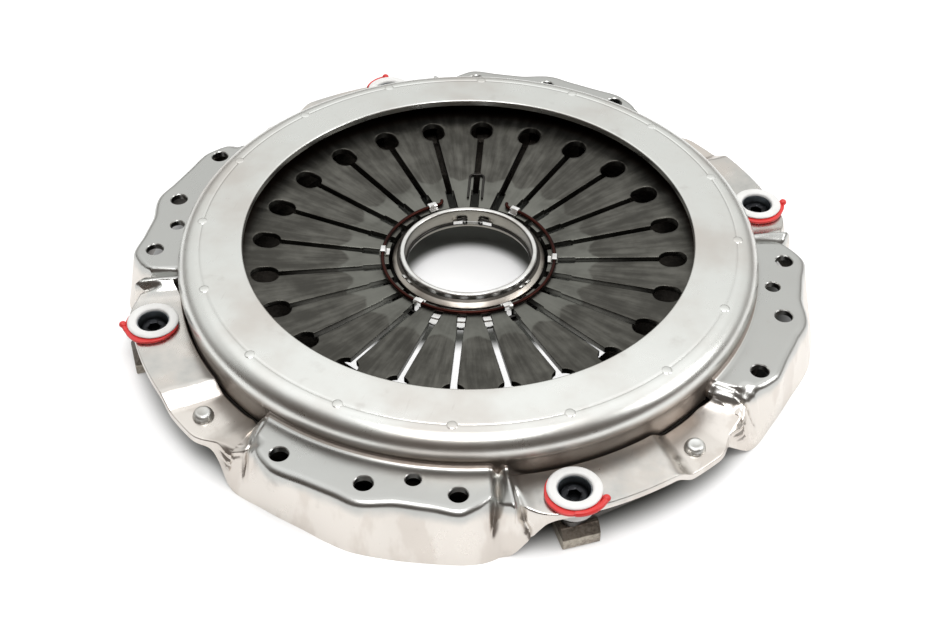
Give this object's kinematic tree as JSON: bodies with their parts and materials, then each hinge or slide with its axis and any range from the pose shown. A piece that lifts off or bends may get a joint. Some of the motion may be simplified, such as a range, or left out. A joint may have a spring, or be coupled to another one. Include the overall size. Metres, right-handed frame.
{
  "type": "clutch pressure plate",
  "caption": "Pull-type diaphragm-spring clutch cover assembly: domed steel cover with bolt lands, slotted spring, release sleeve and transport sleeves over an iron pressure plate.",
  "frame": {"origin": "on the axis of the clutch, at the plane of the cover's skirt hems, on which the assembly stands", "axes": "+Z along the axis towards the release-bearing side; the bolt lands are centred on -Y, +X, +Y and -X"},
  "size_m": [0.4964, 0.4964, 0.064],
  "materials": {
    "cover_steel": "bare pressed steel, satin",
    "wire_steel": "drawn wire, oiled",
    "rivet_steel": "bare, satin",
    "spring_steel": "dark shot-peened spring steel",
    "plate_iron": "bare cast iron",
    "bolt_steel": "black oxide",
    "sleeve_steel": "turned",
    "bright_steel": "bright strip and wire",
    "ring_copper": "coppered wire",
    "leaf_steel": "blued strip",
    "white_plastic": "moulded",
    "red_plastic": "moulded"
  },
  "bodies": {
    "cover": {"cover": "cover_steel", "fulcrum_ring": "wire_steel", "ear_rivets": "rivet_steel", "diaphragm_spring": "spring_steel", "leaf_spring_1": "leaf_steel", "leaf_spring_2": "leaf_steel", "leaf_spring_3": "leaf_steel", "leaf_spring_4": "leaf_steel"},
    "pressure_plate": {"pressure_plate": "plate_iron", "lug_bolts": "bolt_steel"},
    "release": {"release_sleeve": "sleeve_steel", "bearing_snap_ring": "wire_steel", "support_ring": "wire_steel", "preload_washer": "bright_steel", "finger_ring": "ring_copper", "ring_clips": "bright_steel", "locking_wire": "bright_steel"},
    "transport_sleeve_1": {"transport_sleeve_1": "white_plastic", "tie_1": "red_plastic"},
    "transport_sleeve_2": {"transport_sleeve_2": "white_plastic", "tie_2": "red_plastic"},
    "transport_sleeve_3": {"transport_sleeve_3": "white_plastic", "tie_3": "red_plastic"},
    "transport_sleeve_4": {"transport_sleeve_4": "white_plastic", "tie_4": "red_plastic"}
  },
  "joints": [
    {"name": "plate_lift", "type": "slide", "parent": "cover", "child": "pressure_plate", "axis": [0, 0, 1], "range_m": [0, 0.0018], "deforming": ["leaf_spring_1", "leaf_spring_2", "leaf_spring_3", "leaf_spring_4"]},
    {"name": "release_travel", "type": "slide", "parent": "cover", "child": "release", "axis": [0, 0, 1], "range_m": [0, 0.012], "deforming": ["diaphragm_spring"]},
    {"name": "sleeve_1_pull", "type": "slide", "parent": "pressure_plate", "child": "transport_sleeve_1", "axis": [0, 0, 1], "range_m": [0, 0.015]},
    {"name": "sleeve_2_pull", "type": "slide", "parent": "pressure_plate", "child": "transport_sleeve_2", "axis": [0, 0, 1], "range_m": [0, 0.015]},
    {"name": "sleeve_3_pull", "type": "slide", "parent": "pressure_plate", "child": "transport_sleeve_3", "axis": [0, 0, 1], "range_m": [0, 0.015]},
    {"name": "sleeve_4_pull", "type": "slide", "parent": "pressure_plate", "child": "transport_sleeve_4", "axis": [0, 0, 1], "range_m": [0, 0.015]}
  ],
  "couplings": [
    {"joint": "release_travel", "follows": "plate_lift", "ratio": 6.6}
  ]
}
